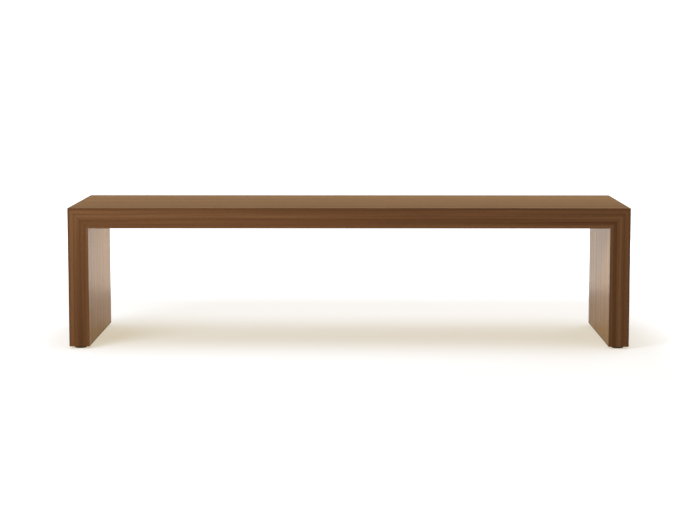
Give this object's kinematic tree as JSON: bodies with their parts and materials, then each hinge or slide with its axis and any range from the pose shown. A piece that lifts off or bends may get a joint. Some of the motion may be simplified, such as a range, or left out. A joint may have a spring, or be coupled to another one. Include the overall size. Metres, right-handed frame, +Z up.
{
  "type": "backless bench",
  "caption": "Backless waterfall bench: a thick veneered slab seat folded at mitred corners into two full-depth slab legs that stand on small levelling feet.",
  "frame": {"origin": "on the floor under the middle of the seat", "axes": "+X along the bench, -Y the front, +Z up"},
  "size_m": [1.8, 0.54, 0.454],
  "materials": {
    "walnut_veneer": "satin lacquered walnut veneer",
    "walnut_lipping": "satin lacquered solid walnut",
    "poplar_core": "planed, unfinished",
    "birch_plywood": "sanded, unfinished",
    "brown_nylon": "moulded, fine texture",
    "zinc_plated_steel": "bright zinc plate",
    "brass": "turned"
  },
  "bodies": {
    "bench": {"left_corner_inner_spline": "birch_plywood", "left_corner_outer_spline": "birch_plywood", "left_front_foot_insert": "brass", "left_leg_base_lipping": "walnut_lipping", "left_leg_foot_rail": "poplar_core", "left_leg_front_lipping": "walnut_lipping", "left_leg_front_stile": "poplar_core", "left_leg_inner_skin": "walnut_veneer", "left_leg_inner_stile_1": "poplar_core", "left_leg_inner_stile_2": "poplar_core", "left_leg_mitre_block": "poplar_core", "left_leg_outer_skin": "walnut_veneer", "left_leg_rear_lipping": "walnut_lipping", "left_leg_rear_stile": "poplar_core", "left_rear_foot_insert": "brass", "right_corner_inner_spline": "birch_plywood", "right_corner_outer_spline": "birch_plywood", "right_front_foot_insert": "brass", "right_leg_base_lipping": "walnut_lipping", "right_leg_foot_rail": "poplar_core", "right_leg_front_lipping": "walnut_lipping", "right_leg_front_stile": "poplar_core", "right_leg_inner_skin": "walnut_veneer", "right_leg_inner_stile_1": "poplar_core", "right_leg_inner_stile_2": "poplar_core", "right_leg_mitre_block": "poplar_core", "right_leg_outer_skin": "walnut_veneer", "right_leg_rear_lipping": "walnut_lipping", "right_leg_rear_stile": "poplar_core", "right_rear_foot_insert": "brass", "seat_front_lipping": "walnut_lipping", "seat_front_stringer": "poplar_core", "seat_inner_stringer_1": "poplar_core", "seat_inner_stringer_2": "poplar_core", "seat_left_mitre_block": "poplar_core", "seat_rear_lipping": "walnut_lipping", "seat_rear_stringer": "poplar_core", "seat_rib_1": "poplar_core", "seat_rib_2": "poplar_core", "seat_rib_3": "poplar_core", "seat_rib_4": "poplar_core", "seat_rib_5": "poplar_core", "seat_right_mitre_block": "poplar_core", "seat_top_skin": "walnut_veneer", "seat_underside_skin": "walnut_veneer"},
    "left_front_foot": {"left_front_foot_base": "brown_nylon"},
    "left_front_foot_screw": {"left_front_foot_stud": "zinc_plated_steel"},
    "left_rear_foot": {"left_rear_foot_base": "brown_nylon"},
    "left_rear_foot_screw": {"left_rear_foot_stud": "zinc_plated_steel"},
    "right_front_foot": {"right_front_foot_base": "brown_nylon"},
    "right_front_foot_screw": {"right_front_foot_stud": "zinc_plated_steel"},
    "right_rear_foot": {"right_rear_foot_base": "brown_nylon"},
    "right_rear_foot_screw": {"right_rear_foot_stud": "zinc_plated_steel"}
  },
  "joints": [
    {"name": "left_front_foot_travel", "type": "slide", "parent": "bench", "child": "left_front_foot", "axis": [0, 0, -1], "range_m": [0, 0.012]},
    {"name": "left_front_foot_turn", "type": "hinge", "parent": "left_front_foot", "child": "left_front_foot_screw", "pos_m": [-0.8675, -0.237, 0.02], "axis": [0, 0, -1], "range_deg": [0, 3456]},
    {"name": "left_rear_foot_travel", "type": "slide", "parent": "bench", "child": "left_rear_foot", "axis": [0, 0, -1], "range_m": [0, 0.012]},
    {"name": "left_rear_foot_turn", "type": "hinge", "parent": "left_rear_foot", "child": "left_rear_foot_screw", "pos_m": [-0.8675, 0.237, 0.02], "axis": [0, 0, -1], "range_deg": [0, 3456]},
    {"name": "right_front_foot_travel", "type": "slide", "parent": "bench", "child": "right_front_foot", "axis": [0, 0, -1], "range_m": [0, 0.012]},
    {"name": "right_front_foot_turn", "type": "hinge", "parent": "right_front_foot", "child": "right_front_foot_screw", "pos_m": [0.8675, -0.237, 0.02], "axis": [0, 0, -1], "range_deg": [0, 3456]},
    {"name": "right_rear_foot_travel", "type": "slide", "parent": "bench", "child": "right_rear_foot", "axis": [0, 0, -1], "range_m": [0, 0.012]},
    {"name": "right_rear_foot_turn", "type": "hinge", "parent": "right_rear_foot", "child": "right_rear_foot_screw", "pos_m": [0.8675, 0.237, 0.02], "axis": [0, 0, -1], "range_deg": [0, 3456]}
  ],
  "couplings": [
    {"joint": "left_front_foot_turn", "follows": "left_front_foot_travel", "rad_per_m": 5026.5},
    {"joint": "left_rear_foot_turn", "follows": "left_rear_foot_travel", "rad_per_m": 5026.5},
    {"joint": "right_front_foot_turn", "follows": "right_front_foot_travel", "rad_per_m": 5026.5},
    {"joint": "right_rear_foot_turn", "follows": "right_rear_foot_travel", "rad_per_m": 5026.5}
  ]
}
